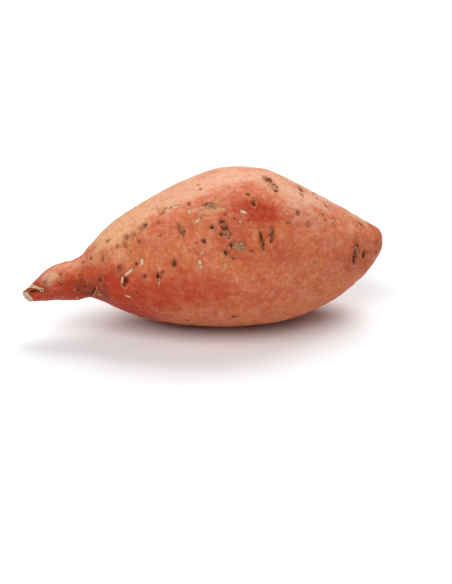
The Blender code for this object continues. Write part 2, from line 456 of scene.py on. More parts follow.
# %% Draw the cracks
LINE_STEPS = 8
CRACKS = (
    # where the neck meets the belly
    (((0.184, 156), (0.188, 127), (0.192, 111), (0.194, 102), (0.192, 92)), 0.40, -1.20, 1.0, 0.6),
    # the tan arc on the shoulder
    (
        ((0.187, 34), (0.194, 26), (0.203, 22), (0.214, 22), (0.227, 26), (0.236, 31)),
        0.32, 0.12, 0.0, 1.0,
    ),
    # a crease below the pits of the shoulder
    (((0.357, 90), (0.356, 82), (0.357, 74), (0.355, 67)), 0.34, 0.06, 0.0, 0.45),
    # faint pale scratches on the shoulder
    (((0.264, 46), (0.263, 52), (0.262, 59), (0.259, 65)), 0.34, 0.04, 0.0, 0.4),
    (((0.372, 36), (0.383, 37), (0.400, 39), (0.421, 43)), 0.34, 0.04, 0.0, 0.35),
    (((0.324, 44), (0.336, 42), (0.350, 45)), 0.30, 0.04, 0.0, 0.35),
    # the gap under the torn strip and the skin's edge above it, both darkened as painted shadow of
    # the strip, and a curl on the neck
    (((0.024, 40), (0.030, 51), (0.037, 60), (0.043, 67)), 0.62, -0.80, 1.0, 0.0),
    (((0.020, -8), (0.030, 2), (0.042, 22), (0.052, 42)), 0.30, -0.35, 0.8, 0.0),
    (((0.104, 44), (0.100, 52), (0.100, 60)), 0.26, 0.08, 0.0, 0.8),
    # arcs on the upper right
    (((0.693, 37), (0.702, 34), (0.713, 33), (0.726, 36)), 0.26, 0.08, 0.0, 0.9),
    (((0.697, 41), (0.706, 38), (0.716, 38), (0.724, 40)), 0.26, 0.08, 0.0, 0.9),
    (((0.576, 26), (0.585, 21), (0.596, 20), (0.607, 22)), 0.34, 0.12, 0.0, 1.0),
    (((0.676, 37), (0.683, 34), (0.690, 33)), 0.26, 0.08, 0.0, 0.9),
    # folds of the neck
    (((0.122, 20), (0.118, 60), (0.121, 95), (0.130, 130)), 0.55, -0.16, 0.1, 0.0),
    (((0.163, 10), (0.160, 48), (0.164, 80), (0.170, 118)), 0.60, -0.20, 0.1, 0.0),
    (((0.070, 62), (0.076, 90), (0.074, 120)), 0.50, -0.16, 0.1, 0.0),
    (((0.186, 200), (0.196, 235), (0.190, 265), (0.197, 300)), 0.45, -0.50, 0.5, 0.4),
)


def drawn_line(knots, steps):
    """Points on a Catmull-Rom curve through the knots, with steps to each stretch."""
    knots = [2 * knots[0] - knots[1]] + list(knots) + [2 * knots[-1] - knots[-2]]
    line = []
    for a, b, c, d in zip(knots, knots[1:], knots[2:], knots[3:]):
        for t in np.linspace(0.0, 1.0, steps, endpoint=False):
            bend = (2 * a - 5 * b + 4 * c - d) * t + (3 * b - a - 3 * c + d) * t * t
            line.append(0.5 * (2 * b + (c - a) * t + bend * t))
    return line + [knots[-2]]


cracks = []
for knots, half_width, depth, dark, pale in CRACKS:
    line = drawn_line([spot_at(*knot)[0] for knot in knots], LINE_STEPS)
    cracks.append((np.array([point[:] for point in line]), half_width * MM, depth, dark, pale))
print(f"{len(cracks)} cracks and lines")

# %% [markdown]
# ## A clean cut through the stalk
# The stalk was cut with a knife, so it ends in one flat, slanted face. The flat face is found
# on the solid, and Bisect Plane cuts the fine skin there, which gives the face the sharp edge
# that smoothing took away. The hole is filled, and insets lay rings of small faces in it, the
# thin ring of the bark first, so that the cut can be a little rough.

# %% Cut the stalk
CUT_WAY = Vector((-1.0, -0.8, -0.4)).normalized()
CUT_SHAVING = 0.90 * MM
BARK = 0.30 * MM
CUT_RINGS = 5
cut_faces = [
    face
    for face in plain_root.data.polygons
    if face.normal.dot(CUT_WAY) > 0.96 and face.center.x < stalk_end.x + 0.04 * LENGTH
]
cut_area = sum(face.area for face in cut_faces)
cut_middle = sum((face.center * face.area for face in cut_faces), Vector()) / cut_area
cut_way = sum((face.normal * face.area for face in cut_faces), Vector()).normalized()
print(f"cut face: {cut_area * 1e6:.0f} mm2, facing {tuple(round(part, 2) for part in cut_way)}")

everything = list(bm.verts) + list(bm.edges) + list(bm.faces)
sliced = bmesh.ops.bisect_plane(
    bm,
    geom=everything,
    plane_co=cut_middle - cut_way * CUT_SHAVING,
    plane_no=cut_way,
    clear_outer=True,
)
rim = [edge for edge in sliced["geom_cut"] if isinstance(edge, bmesh.types.BMEdge)]
stalk_face = bmesh.ops.edgeloop_fill(bm, edges=rim)["faces"]
stalk_face[0].normal_update()
if stalk_face[0].normal.dot(cut_way) < 0.0:
    bmesh.ops.reverse_faces(bm, faces=stalk_face)
across_cut = math.sqrt(stalk_face[0].calc_area() / math.pi)
bark = bmesh.ops.inset_region(bm, faces=stalk_face, thickness=BARK, depth=0.0)["faces"]
rings = list(bark)
for _ in range(CUT_RINGS):
    step = (across_cut - BARK) / (CUT_RINGS + 1)
    rings += bmesh.ops.inset_region(bm, faces=stalk_face, thickness=step, depth=0.0)["faces"]
middle_fan = bmesh.ops.poke(bm, faces=stalk_face)["faces"]
for face in rings + middle_fan:
    face.material_index = 1
print(f"the stalk is {2000 * across_cut:.1f} mm across, its cut has {len(rings + middle_fan)} faces")

# %% [markdown]
# ## Finer squares where the marks are
# A pit of two millimetres needs squares of a quarter of a millimetre. Making the whole skin
# that fine would cost over a million triangles, so only the squares at the tip and near a mark
# or a crack are cut in four. At the tip, the cracks and the marks of the front they are cut
# once more.

# %% Cut the squares near marks
FINE_REACH = ((marks, 1.30), (marks[: len(FRONT_MARKS)], 1.05))
FINE_EDGE = 0.20 * MM
FINE_TIP = 0.045
CRACK_REACH = 2.0


def near_marks(places, chosen_marks, stretch):
    """Which of these places lie within a mark's or a crack's own size, times stretch."""
    near = np.zeros(len(places), bool)
    for point, _, half_across, half_along, _, _ in chosen_marks:
        reach = max(half_across, half_along) * stretch + FINE_EDGE
        near |= np.linalg.norm(places - np.array(point), axis=1) < reach
    for line, half_width, *_ in cracks:
        for point in line:
            near |= np.linalg.norm(places - point, axis=1) < CRACK_REACH * half_width * stretch
    near |= places[:, 0] < stalk_end.x + FINE_TIP * LENGTH
    return near


for chosen_marks, stretch in FINE_REACH:
    middles = np.array([face.calc_center_median()[:] for face in bm.faces])
    chosen = set()
    for face, wanted in zip(bm.faces, near_marks(middles, chosen_marks, stretch)):
        if wanted and face.material_index == 0:
            chosen.update(face.edges)
    bmesh.ops.subdivide_edges(bm, edges=list(chosen), cuts=1, use_grid_fill=True, smooth=0.0)
    print(f"{len(chosen)} edges cut, {len(bm.faces)} faces now")
skin_only = [
    vert for vert in bm.verts if all(face.material_index == 0 for face in vert.link_faces)
]
relax(bm, skin_only, 1)
bmesh.ops.triangulate(bm, faces=[face for face in bm.faces if len(face.verts) > 4])
bm.normal_update()
print(f"triangles: {sum(len(face.verts) - 2 for face in bm.faces)}")

# %% [markdown]
# ## Noise on every point
# Nothing on a root is even. `wobble` gives every point of the skin a smooth random number,
# in patches of a chosen size, and the shapes and edges below are all bent by it.

# %% Measure the points and their noise
places = np.array([vert.co[:] for vert in bm.verts])
normals = np.array([vert.normal[:] for vert in bm.verts])
share_along = (places[:, 0] - stalk_end.x) / LENGTH


def soft_step(value, low, high):
    """0 below low, 1 above high, and a smooth slope between."""
    t = np.clip((value - low) / (high - low), 0.0, 1.0)
    return t * t * (3.0 - 2.0 * t)


def wobble(scale, seed, octaves=2, squeeze=(1.0, 1.0, 1.0)):
    """Smooth noise at every point, from -1 to 1; scale is its size in metres."""
    shift = np.array([seed, 0.7 * seed, -seed])
    spots = places * np.array(squeeze) / scale + shift
    return np.array([noise.fractal(Vector(spot), 1.0, 2.0, octaves) for spot in spots])


coarse = wobble(14.0 * MM, 3.0)
middling = wobble(4.5 * MM, 8.0)
fine = wobble(1.3 * MM, 5.0)
finer = wobble(0.8 * MM, 15.0, 1)
print(f"noise at {len(places)} points, coarse from {coarse.min():.2f} to {coarse.max():.2f}")

# %% [markdown]
# ## Each point's own mark
# Every point near a mark keeps where it lies in it: 0 in the middle, 1 at the edge. The noise
# pushes this about, so no mark is a neat ellipse. The shape of the dents and the colours of
# the scars are both worked out from these numbers, so colour and shape always agree. Cork
# also gets ridges, which run along the mark's longer side.

# %% Measure every point against the marks
FAR = 9.0
EDGE_WANDER = 0.42 * MM
MOST_WANDER = 0.42
RIDGE_LENGTH = 2.2 * MM
RIDGE_WIDTH = 0.95 * MM
LENGTHWAYS = Vector((1.0, 0.0, 0.0))
reach = np.full(len(places), FAR)
upward = np.zeros(len(places))
ridge = np.zeros(len(places))
mark_kind = np.full(len(places), -1)
mark_size = np.full(len(places), MM)
mark_strength = np.ones(len(places))
strengths = random.Random(5)
for number, (point, normal, half_across, half_along, lean, kind) in enumerate(marks):
    forward = (LENGTHWAYS - normal * normal.dot(LENGTHWAYS)).normalized()
    sideways = normal.cross(forward)
    along_way = forward * math.cos(lean) - sideways * math.sin(lean)
    across_way = sideways * math.cos(lean) + forward * math.sin(lean)
    away = places - np.array(point)
    close = np.flatnonzero(np.linalg.norm(away, axis=1) < 3.0 * max(half_across, half_along))
    small_half = min(half_across, half_along)
    wander = min(EDGE_WANDER, MOST_WANDER * small_half)
    u = away[close] @ np.array(along_way) + wander * (fine + 0.6 * middling)[close]
    v = away[close] @ np.array(across_way) + wander * (finer - 0.8 * middling)[close]
    distance = np.hypot(u / half_along, v / half_across)
    own = distance < reach[close]
    taken = close[own]
    reach[taken] = distance[own]
    upward[taken] = (v / half_across)[own]
    mark_kind[taken] = kind
    mark_size[taken] = small_half
    mark_strength[taken] = strengths.uniform(0.65, 1.0)
    long_side, short_side = (v, u) if half_across > half_along else (u, v)
    for vert, a, b in zip(taken, long_side[own] / RIDGE_LENGTH, short_side[own] / RIDGE_WIDTH):
        ridge[vert] = noise.fractal(Vector((a, b, 0.37 * number)), 1.0, 2.0, 2)
ridge = np.clip(0.5 + 1.1 * ridge, 0.0, 1.0)
print(f"{(reach < 1.0).sum()} points lie in a mark")

# %% [markdown]
# ## Each point's own crack
# For the cracks every point keeps its distance from the nearest one, in half widths, with a
# sign that tells the two sides apart, so that only one lip is pale. A crack thins out towards
# its two ends.

# %% Measure every point against the cracks
CRACK_LOOK = 12.0
END_TAPER = 4.0
THINNEST = 0.12
crack_side = np.full(len(places), FAR)
crack_depth = np.zeros(len(places))
crack_dark = np.zeros(len(places))
crack_pale = np.zeros(len(places))
for line, half_width, depth, dark, pale in cracks:
    run = np.concatenate([[0.0], np.cumsum(np.linalg.norm(np.diff(line, axis=0), axis=1))])
    for step, (start, end) in enumerate(zip(line, line[1:])):
        way = (end - start) / np.linalg.norm(end - start)
        close = np.flatnonzero(np.linalg.norm(places - start, axis=1) < CRACK_LOOK * half_width)
        away = places[close] - start
        along = np.clip(away @ way, 0.0, np.linalg.norm(end - start))
        off = away - along[:, None] * way
        from_end = np.minimum(run[step] + along, run[-1] - run[step] - along)
        taper = np.clip(END_TAPER * from_end / run[-1], THINNEST, 1.0)
        distance = np.linalg.norm(off, axis=1) / (half_width * np.sqrt(taper))
        distance += 0.35 * fine[close]
        side = np.sign(np.einsum("ij,ij->i", off, np.cross(way, normals[close])))
        own = distance < np.abs(crack_side[close])
        taken = close[own]
        crack_side[taken] = (distance * side)[own]
        crack_depth[taken] = depth * taper[own]
        crack_dark[taken] = dark
        crack_pale[taken] = pale
print(f"{(np.abs(crack_side) < 1.0).sum()} points lie in a crack")

# %% [markdown]
# ## The shape of the skin
# The skin is moved along its own normals by a height that adds up from the real features:
# soft unevenness, fine wrinkles, and the marks. A pit is a bowl with a low lip, cork is a
# shallow bed of broken ridges, a chip is a flat step, and a crack is a deep narrow groove
# with a raised lip. A few wide swells, of about a millimetre at most, bring the outline closer
# to that of the real root. Last, the tip is drawn out along the way of its cut, because the
# cut shortened it, and made a little narrower.

# %% Raise and dent the skin
# at the tip: the stretch of the cut level and upwards, below 0 narrower, and the pull outwards
TIP_LEVEL = -0.13
TIP_UP = -0.05
TIP_PULL = 1.55 * MM
SWELLS = (
    # share, degrees, size along and across, and rise, all three in millimetres
    (0.036, -8, 8, 5.5, 0.50),
    (0.050, 155, 9, 6, -0.45),
    (0.078, -8, 10, 7, 0.80),
    (0.180, 152, 6, 6, 1.10),
    (0.236, 150, 9, 9, -0.50),
    (0.420, -10, 14, 16, 0.55),
    (0.900, 0, 16, 16, 0.50),
    (0.995, 60, 12, 14, 0.45),
)
COARSE_RISE = 0.26
MIDDLING_RISE = 0.19
CRUMPLE_RISE = 0.12
NECK_WRINKLES = 0.070
NECK_BUMPS = 0.20
LIP_RISE = 0.35


def away_from(share, turn, along, across):
    """How far each point lies from a place on the skin: 1 at the edge of an oval round it."""
    point, normal = spot_at(share, turn)
    forward = np.array((LENGTHWAYS - normal * normal.dot(LENGTHWAYS)).normalized())
    sideways = np.cross(np.array(normal), forward)
    away = places - np.array(point)
    u = away @ forward / (along * MM)
    v = away @ sideways / (across * MM)
    w = away @ np.array(normal) / (across * MM)
    return np.sqrt(u * u + v * v + 0.5 * w * w)


on_neck = 1.0 - soft_step(share_along, 0.12, 0.24)
wrinkles = wobble(1.1 * MM, 2.0, 2, (1.0, 0.14, 0.14))
crumple = wobble(2.4 * MM, 21.0, 2)
height = COARSE_RISE * coarse + MIDDLING_RISE * middling + CRUMPLE_RISE * crumple
height += (NECK_WRINKLES * wrinkles + NECK_BUMPS * middling) * on_neck

bowl = 1.0 - soft_step(reach, 0.25, 1.05)
step_down = 1.0 - soft_step(reach, 0.82, 1.05)
lip = np.exp(-(((reach - 1.22) / 0.26) ** 2))
scale = np.clip(mark_size / MM, 0.35, 1.6)
for kind, (bed, rim, rough_bed, *_) in KINDS.items():
    mine = mark_kind == kind
    shape = step_down if kind in (CHIP, CORK) else bowl
    height[mine] += scale[mine] * (bed * shape[mine] + rim * lip[mine])
    height[mine] += rough_bed * shape[mine] * (2.0 * ridge[mine] - 1.0 + 0.6 * fine[mine])
groove = 1.0 - soft_step(np.abs(crack_side), 0.0, 1.15)
crack_lip = np.exp(-(((crack_side - 1.7) / 0.6) ** 2))
height += crack_depth * groove - LIP_RISE * crack_depth * crack_lip
near_cut = np.array(
    [any(face.material_index == 1 for face in vert.link_faces) for vert in bm.verts]
)
height *= np.where(near_cut, 0.0, 0.45 + 0.55 * soft_step(share_along, 0.02, 0.08))
height[near_cut] = (0.10 * fine + 0.14 * finer)[near_cut]
swell = sum(rise * np.exp(-away_from(*spot) ** 2) for *spot, rise in SWELLS)
swell[near_cut] = 0.0
moved = places + normals * (height + swell)[:, None] * MM
near_tip = 1.0 - soft_step(share_along, 0.010, 0.070)
cut_level = cut_way.cross(Vector((0.0, 0.0, 1.0))).normalized()
cut_up = cut_level.cross(cut_way)
from_cut = places - np.array(cut_middle)
stretch = np.outer(from_cut @ np.array(cut_level), TIP_LEVEL * cut_level)
stretch += np.outer(from_cut @ np.array(cut_up), TIP_UP * cut_up)
moved += near_tip[:, None] * (stretch + np.array(cut_way * TIP_PULL))
moved[:, 2] = np.maximum(moved[:, 2], 0.0)
for vert, place in zip(bm.verts, moved):
    vert.co = place
skin_mesh = bpy.data.meshes.new("skin")
bm.to_mesh(skin_mesh)
grown_skin = BVHTree.FromBMesh(bm)
bm.free()
skin_mesh.shade_smooth()
print(f"heights run from {height.min():.2f} to {height.max():.2f} mm")

# %% [markdown]
# ## Where the skin is red and where it is pale
# The colour of a root drifts: deep red on the neck, on the low front and in one hollow, orange
# on the belly, and pale along the top. The red of the low front and the underside is partly the
# skin's own and partly painted shade, and the pale along the top is partly rubbed skin and
# partly painted sheen. Each such zone is a soft round spot, with its size along the root and
# across it in millimetres and its strength. Round the stalk, the crack and the worst scars the
# skin is also brown and dirty, and in the fold where the neck meets the belly this brown is
# partly painted shade. The edges are bent by noise, and both sides of the root have their own
# zones.

# %% Lay out the zones of colour
# deep red; on the low front and the underside this red is partly painted shade
RED_AND_SHADE_ZONES = (
    (0.040, 80, 9, 9, 0.8),
    (0.080, 95, 14, 7, 0.9),
    (0.140, 98, 20, 11, 1.0),
    (0.185, 84, 12, 9, 0.7),
    (0.240, 104, 20, 15, 1.0),
    (0.110, 130, 28, 12, 1.0),
    (0.215, 128, 16, 12, 1.0),
    (0.270, 128, 24, 16, 1.0),
    (0.335, 98, 26, 14, 0.8),
    (0.450, 94, 30, 16, 0.65),
    (0.580, 104, 26, 14, 0.40),
    (0.637, 43.5, 14, 7.5, 0.95),
    (0.600, 41, 12, 7, 0.75),
    (0.575, 33, 12, 4, 0.30),
    (0.630, 35, 14, 4.5, 0.40),
    (0.700, 45, 18, 6, 0.50),
    (0.610, 50, 16, 8, 0.50),
    (0.545, 44, 9, 6, 0.30),
    (0.560, 58, 16, 12, 0.40),
    (0.640, 72, 22, 12, 0.45),
    (0.900, 88, 18, 10, 0.45),
    (0.300, 170, 60, 18, 0.7),
    (0.760, 190, 50, 18, 0.6),
    (0.160, 250, 24, 16, 0.7),
    (0.500, 260, 40, 14, 0.6),
    (0.820, 290, 24, 12, 0.6),
)
# brown: real dirt round the stalk and the scars, partly painted shade in the neck's fold
DIRT_AND_SHADE_ZONES = (
    (0.020, 60, 3.5, 5.0, 0.9),
    (0.046, 66, 5.0, 2.5, 0.9),
    (0.064, 50, 2.5, 4.0, 0.6),
    (0.165, 92, 9.0, 5.0, 0.9),
    (0.186, 112, 6.0, 8.0, 1.0),
    (0.208, 108, 6.0, 9.0, 0.9),
    (0.206, 84, 3.0, 4.5, 0.6),
    (0.300, 33, 9.0, 3.0, 0.25),
    (0.560, 60, 11.0, 8.0, 0.30),
    (0.905, 76, 4.0, 6.0, 0.45),
    (0.980, 60, 5.0, 12.0, 0.40),
    (0.985, 250, 6.0, 16.0, 0.50),
    (0.188, 240, 4.0, 16.0, 0.60),
)
# pale along the top: partly rubbed skin and partly a painted sheen
PALE_AND_SHEEN_ZONES = (
    (0.074, 34, 6, 4, 1.0),
    (0.110, 8, 20, 7, 0.5),
    (0.230, -12, 14, 10, 1.0),
    (0.340, -18, 26, 14, 1.0),
    (0.460, -18, 28, 14, 1.0),
    (0.580, -20, 26, 14, 1.0),
    (0.700, -14, 26, 12, 1.0),
    (0.820, -8, 22, 10, 0.9),
    (0.920, 2, 12, 7, 0.7),
    (0.256, 54, 8, 6, 0.45),
    (0.745, 30, 12, 6, 0.70),
    (0.780, 42, 18, 7, 0.40),
    (0.880, 40, 12, 7, 0.35),
    (0.265, 15, 22, 12, 1.0),
    (0.340, 8, 24, 14, 1.0),
    (0.450, 8, 26, 15, 0.95),
    (0.560, 5, 26, 12, 1.0),
    (0.490, 36, 14, 3, 0.4),
    (0.660, 2, 22, 12, 0.9),
    (0.750, 16, 26, 9, 1.0),
    (0.800, 50, 20, 8, 0.25),
    (0.880, 14, 14, 8, 0.5),
    (0.390, 330, 40, 12, 0.6),
    (0.640, 320, 34, 12, 0.6),
    (0.300, 240, 24, 9, 0.4),
    (0.700, 235, 24, 10, 0.4),
)


def zone_strength(zones):
    """How strongly any of the zones colours each point."""
    strength = np.zeros(len(places))
    for *spot, most in zones:
        spread = away_from(*spot) + 0.16 * middling + 0.14 * coarse
        strength = np.maximum(strength, most * (1.0 - soft_step(spread, 0.20, 1.35)))
    return strength


red_and_shade = zone_strength(RED_AND_SHADE_ZONES)
pale_and_sheen = zone_strength(PALE_AND_SHEEN_ZONES)
dirt_and_shade = zone_strength(DIRT_AND_SHADE_ZONES)
print(f"{np.mean(red_and_shade > 0.5):.0%} of the points are red, {np.mean(pale_and_sheen > 0.5):.0%} pale")

# %% [markdown]
# ## What the skin remembers
# The material needs to know all of this, so it is stored on the mesh as attributes, which a
# material reads by name: the place in the mark, the mark's dark, cork, pale and grey shares,
# the cracks, the zones of colour, and how deep each point lies.

# %% Store the attributes
mark_mix = np.zeros((len(places), 4))
for kind, (_, _, _, *mix) in KINDS.items():
    mark_mix[mark_kind == kind] = mix
mark_mix *= mark_strength[:, None]


def store(mesh, name, kind, values):
    """Keeps one number or one vector for every point of a mesh."""
    layer = mesh.attributes.new(name, kind, "POINT")
    field = "value" if kind == "FLOAT" else "vector"
    layer.data.foreach_set(field, np.ascontiguousarray(values, np.float32).ravel())


store(skin_mesh, "mark", "FLOAT_VECTOR", np.stack([reach, ridge, upward], axis=1))
store(skin_mesh, "mark_mix", "FLOAT_VECTOR", mark_mix[:, :3])
store(skin_mesh, "mark_grey", "FLOAT", mark_mix[:, 3])
store(skin_mesh, "crack", "FLOAT_VECTOR", np.stack([crack_side, crack_dark, crack_pale], axis=1))
store(skin_mesh, "zone", "FLOAT_VECTOR", np.stack([red_and_shade, pale_and_sheen, dirt_and_shade], axis=1))
store(skin_mesh, "hollow", "FLOAT", -height)
skin = plain_object("skin", skin_mesh)
print("attributes:", ", ".join(layer.name for layer in skin_mesh.attributes if layer.name[0] != "."))

# %% [markdown]
# ## A short way to write materials
# A material is a small network of nodes. These helpers add one node each and hand back its
# output, so that a finish reads like a recipe: this noise, through that ramp, mixed with
# that colour.

# %% Helpers for materials
class Recipe:
    """A material with a Principled shader, and short calls for the nodes that feed it."""

    def __init__(self, name):
        self.material = bpy.data.materials.new(name)
        self.material.use_nodes = True
        self.tree = self.material.node_tree
        self.shader = self.tree.nodes["Principled BSDF"]
        self.where = self.tree.nodes.new("ShaderNodeTexCoord").outputs["Object"]

    def node(self, kind, inputs=(), **settings):
        made = self.tree.nodes.new(kind)
        for key, value in settings.items():
            setattr(made, key, value)
        for key, value in dict(inputs).items():
            self.feed(made.inputs[key], value)
        return made

    def feed(self, socket, value):
        if isinstance(value, bpy.types.NodeSocket):
            self.tree.links.new(value, socket)
        elif value is not None:
            socket.default_value = value

    def attribute(self, name, number=False):
        made = self.node("ShaderNodeAttribute", attribute_name=name)
        return made.outputs["Fac" if number else "Vector"]

    def parts(self, vector):
        made = self.node("ShaderNodeSeparateXYZ", {"Vector": vector})
        return [made.outputs[axis] for axis in "XYZ"]

    def noise(self, size, detail=2.0, rough=0.5, warp=0.0, at=None):
        made = self.node(
            "ShaderNodeTexNoise",
            {
                "Vector": at or self.where,
                "Scale": 1.0 / size,
                "Detail": detail,
                "Roughness": rough,
                "Distortion": warp,
            },
        )
        return made.outputs["Fac"]

    def stretched(self, x, y, z):
        """The place, squeezed so that a pattern on it is drawn out along some axes."""
        made = self.node("ShaderNodeVectorMath", operation="MULTIPLY")
        self.feed(made.inputs[0], self.where)
        made.inputs[1].default_value = (x, y, z)
        return made.outputs["Vector"]

    def math(self, operation, *values):
        """One sum of two values, or of more than two taken in turn."""
        total = values[0]
        for value in values[1:]:
            made = self.node("ShaderNodeMath", operation=operation)
            self.feed(made.inputs[0], total)
            self.feed(made.inputs[1], value)
            total = made.outputs["Value"]
        return total

    def times(self, *values):
        return self.math("MULTIPLY", *values)

    def shaken(self, value, shake, amount):
        """A value with noise added to it: the noise is centred on a half."""
        return self.math("ADD", value, self.times(self.math("SUBTRACT", shake, 0.5), amount))

    def slope(self, value, low, high, start=0.0, end=1.0):
        made = self.node("ShaderNodeMapRange", interpolation_type="SMOOTHSTEP")
        for key, number in zip(range(5), (value, low, high, start, end)):
            self.feed(made.inputs[key], number)
        return made.outputs["Result"]

    def mix(self, amount, first, second):
        made = self.node("ShaderNodeMix", data_type="RGBA")
        self.feed(made.inputs["Factor"], amount)
        for name, colour in (("A", first), ("B", second)):
            socket = [s for s in made.inputs if s.name == name and s.type == "RGBA"][0]
            self.feed(socket, (*colour, 1.0) if isinstance(colour, tuple) else colour)
        return [s for s in made.outputs if s.type == "RGBA"][0]

    def bump(self, height, distance, strength=1.0, under=None):
        made = self.node(
            "ShaderNodeBump", {"Height": height, "Distance": distance, "Strength": strength}
        )
        if under:
            self.feed(made.inputs["Normal"], under)
        return made.outputs["Normal"]


# %% [markdown]
# ## The ground colour of the skin
# The skin is coppery red, never one flat colour. Noises of several sizes drift and break it
# up: clouds of a centimetre, smaller clouds, grain, and faint streaks that run lengthwise.
# They also tear the edges of the zones, so that red, pale and dirty skin run into each other.

# %% Make the noises of the skin
look = Recipe("sweet potato skin")
zone_red_and_shade, zone_pale_and_sheen, zone_dirt_and_shade = look.parts(look.attribute("zone"))
hollow = look.attribute("hollow", number=True)
along_root = look.parts(look.where)[0]
cloud = look.noise(0.0085, 3.0, 0.55)
small_cloud = look.noise(0.0034, 3.0, 0.6)
blot = look.noise(0.0058, 2.0, 0.5)
mottle = look.noise(0.0024, 2.0, 0.5)
grain = look.noise(0.0011, 4.0, 0.65)
tint = look.noise(0.0015, 3.0, 0.6)
rosy = look.noise(0.0110, 2.0)
patchy = look.noise(0.0045, 3.0, 0.6)
streak = look.noise(0.0011, 3.0, 0.6, 0.2, at=look.stretched(0.16, 1.0, 1.0))
streak_here = look.slope(look.noise(0.030, 1.0), 0.40, 0.60)
red_and_shade_amount = look.shaken(look.shaken(zone_red_and_shade, cloud, 0.5), small_cloud, 0.7)
pale_and_sheen_amount = look.shaken(look.shaken(zone_pale_and_sheen, cloud, -0.7), small_cloud, 0.8)
dirt_and_shade_amount = look.shaken(look.shaken(zone_dirt_and_shade, cloud, 0.3), mottle, 0.9)
pale_here = look.slope(pale_and_sheen_amount, 0.05, 1.0)
not_red = look.slope(look.math("MAXIMUM", zone_red_and_shade, zone_dirt_and_shade), 0.1, 0.8, 1.0, 0.30)
not_pale = look.slope(zone_pale_and_sheen, 0.1, 0.9, 1.0, 0.55)
towards_tail = look.slope(along_root, -0.055, 0.005)
towards_stalk = look.slope(along_root, -0.050, -0.062)
ends = look.math("ADD", towards_tail, towards_stalk)
pinkness = look.slope(look.shaken(ends, look.noise(0.0075, 2.0), 1.8), 0.0, 1.0)
print(f"the noises take {len(look.tree.nodes)} nodes")

# %% [markdown]
# ## Layers of colour
# The ground colour is built up like a glaze. Copper lies at the bottom, and each further colour
# shows as far as its noise climbs from one value to another, in some layers only where another
# value lets it. It drifts to rose and to tawny, the zones turn it red or pale, and the small
# noises fleck it. The pale of the top is partly rubbed skin and partly painted sheen; it is
# orange on the shoulder, and pinker on the neck and from the middle to the tail.

# %% Paint the ground colour
COPPER = (0.58, 0.145, 0.056)
ROSE = (0.60, 0.165, 0.105)
TAWNY = (0.60, 0.190, 0.062)
RUST = (0.47, 0.082, 0.028)
BLUSH = (0.66, 0.235, 0.125)
DEEP_RED = (0.40, 0.034, 0.011)
PALE_ORANGE = (0.72, 0.375, 0.190)
PALE_PINK = (0.72, 0.375, 0.250)
PALE_TAN = (0.72, 0.41, 0.20)
DIRT_AND_SHADE_RED = (0.21, 0.030, 0.012)
FLECK_PALE = (0.78, 0.40, 0.24)
FLECK_DARK = (0.34, 0.060, 0.026)
FLECK_TAN = (0.58, 0.33, 0.16)
GRAIN_TAN = (0.66, 0.48, 0.32)
GRAIN_RED = (0.58, 0.050, 0.020)
SOIL_AND_SHADE = (0.17, 0.055, 0.026)


def layered(colour, layers):
    """Lays colours over a colour, each up to its most, where its value nears high from low."""
    for over, most, value, low, high, *lets in layers:
        amount = look.times(look.slope(value, low, high, 0.0, most), *lets)
        colour = look.mix(amount, colour, over)
    return colour


# partly rubbed skin and partly painted sheen: orange on the shoulder, pinker towards the ends
rubbed_and_sheen = look.mix(pinkness, PALE_ORANGE, PALE_PINK)
ground_layers = (
    # colour, most, value, low, high, and what lets it through
    (BLUSH, 0.45, blot, 0.50, 0.70),
    (RUST, 0.55, blot, 0.50, 0.30),
    (ROSE, 0.55, rosy, 0.50, 0.68),
    (TAWNY, 0.50, rosy, 0.50, 0.34),
    # deep red, partly painted shade on the low front and the underside
    (DEEP_RED, 1.00, red_and_shade_amount, 0.05, 1.00),
    (rubbed_and_sheen, 1.00, pale_and_sheen_amount, 0.05, 1.00),
    (PALE_TAN, 0.45, patchy, 0.50, 0.68, pale_here),
    (BLUSH, 0.25, patchy, 0.50, 0.32, pale_here),
    # brown: dirt, and painted shade in the fold where the neck meets the belly
    (DIRT_AND_SHADE_RED, 0.90, dirt_and_shade_amount, 0.15, 1.00),
    (FLECK_PALE, 0.26, mottle, 0.50, 0.74, not_red),
    (FLECK_DARK, 0.32, mottle, 0.52, 0.28, not_pale),
    (FLECK_PALE, 0.22, streak, 0.52, 0.80, streak_here),
    (FLECK_DARK, 0.22, streak, 0.46, 0.22, streak_here, not_pale),
    (FLECK_PALE, 0.25, grain, 0.55, 0.80, not_red),
    (FLECK_DARK, 0.40, grain, 0.44, 0.22, not_pale),
    (GRAIN_TAN, 0.24, tint, 0.50, 0.76, not_red),
    (GRAIN_RED, 0.34, tint, 0.50, 0.24),
    # darker where the skin lies deep: partly soil, partly painted shade in the hollows
    (SOIL_AND_SHADE, 0.55, hollow, 0.14, 0.80, not_pale),
)
colour = layered(COPPER, ground_layers)
print(f"{len(ground_layers)} layers over the copper")

# %% [markdown]
# ## Tiny pits and flecks
# Pores and flecks are strewn over the skin. Each is a small disc round the centre of a Voronoi
# cell, roughened by the grain, and shows only where a wide noise lets it through.

# %% Strew pits and flecks
def strewn(cell, size, area, low, high):
    """Small discs, one to a cell, where a wide noise lets them through."""
    cells = look.node("ShaderNodeTexVoronoi", {"Vector": look.where, "Scale": 1.0 / cell})
    disc = look.slope(look.shaken(cells.outputs["Distance"], grain, 0.12), size, 0.4 * size)
    return look.times(disc, look.slope(look.noise(area, 2.0), low, high))


tiny_pits = strewn(0.0048, 0.12, 0.012, 0.48, 0.55)
colour = look.mix(look.times(tiny_pits, 0.80), colour, FLECK_DARK)
tan_flecks = strewn(0.0037, 0.14, 0.009, 0.52, 0.58)
colour = look.mix(look.times(tan_flecks, not_red, 0.60), colour, FLECK_TAN)
print(f"{len(look.tree.nodes)} nodes so far")

